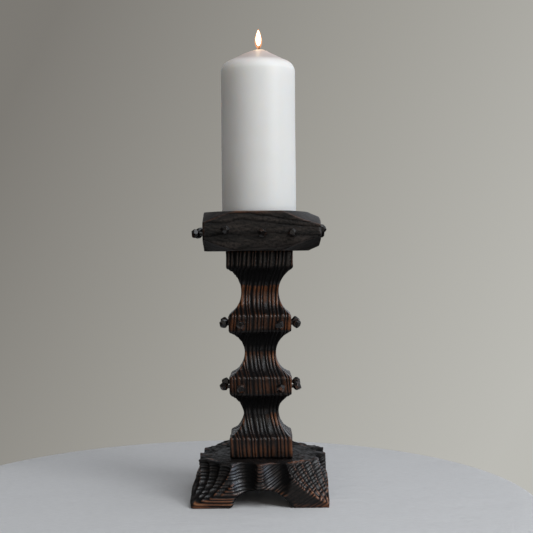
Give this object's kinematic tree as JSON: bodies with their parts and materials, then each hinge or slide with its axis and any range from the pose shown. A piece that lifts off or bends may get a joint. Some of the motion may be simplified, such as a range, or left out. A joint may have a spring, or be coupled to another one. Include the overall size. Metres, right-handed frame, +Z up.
{
  "type": "candlestick",
  "caption": "Carved burnt-pine candlestick with a square coved column, arched foot, bevelled pan, whittled pegs and a removable pillar candle.",
  "frame": {"origin": "middle of the base, on the surface its feet stand on", "axes": "+Z up along the column; the front side faces -Y, +X is to the right seen from the front"},
  "size_m": [0.1236, 0.1237, 0.4242],
  "materials": {
    "charred_pine": "burnt and brushed, satin wax",
    "whittled_pegs": "burnt, rubbed brown on the facets",
    "black_iron": "forged, oiled",
    "screw_steel": "zinc plated",
    "candle_wax": "satin wax",
    "wick": "charred cotton",
    "flame": "luminous"
  },
  "bodies": {
    "candlestick": {"base": "charred_pine", "column": "charred_pine", "pan": "charred_pine", "spike": "black_iron", "base_screw_left": "screw_steel", "base_screw_right": "screw_steel", "pan_screw_left": "screw_steel", "pan_screw_right": "screw_steel", "peg_lower_front_left": "whittled_pegs", "peg_lower_front_right": "whittled_pegs", "peg_lower_right_left": "whittled_pegs", "peg_lower_right_right": "whittled_pegs", "peg_lower_back_left": "whittled_pegs", "peg_lower_back_right": "whittled_pegs", "peg_lower_left_left": "whittled_pegs", "peg_lower_left_right": "whittled_pegs", "peg_upper_front_left": "whittled_pegs", "peg_upper_front_right": "whittled_pegs", "peg_upper_right_left": "whittled_pegs", "peg_upper_right_right": "whittled_pegs", "peg_upper_back_left": "whittled_pegs", "peg_upper_back_right": "whittled_pegs", "peg_upper_left_left": "whittled_pegs", "peg_upper_left_right": "whittled_pegs", "peg_pan_front_1": "whittled_pegs", "peg_pan_front_2": "whittled_pegs", "peg_pan_front_3": "whittled_pegs", "peg_pan_right_1": "whittled_pegs", "peg_pan_right_2": "whittled_pegs", "peg_pan_right_3": "whittled_pegs", "peg_pan_back_1": "whittled_pegs", "peg_pan_back_2": "whittled_pegs", "peg_pan_back_3": "whittled_pegs", "peg_pan_left_1": "whittled_pegs", "peg_pan_left_2": "whittled_pegs", "peg_pan_left_3": "whittled_pegs"},
    "candle": {"candle_wax": "candle_wax", "wick": "wick"}
  },
  "joints": [
    {"name": "candle_lift", "type": "slide", "parent": "candlestick", "child": "candle", "axis": [0, 0, 1], "range_m": [0, 0.05]}
  ]
}
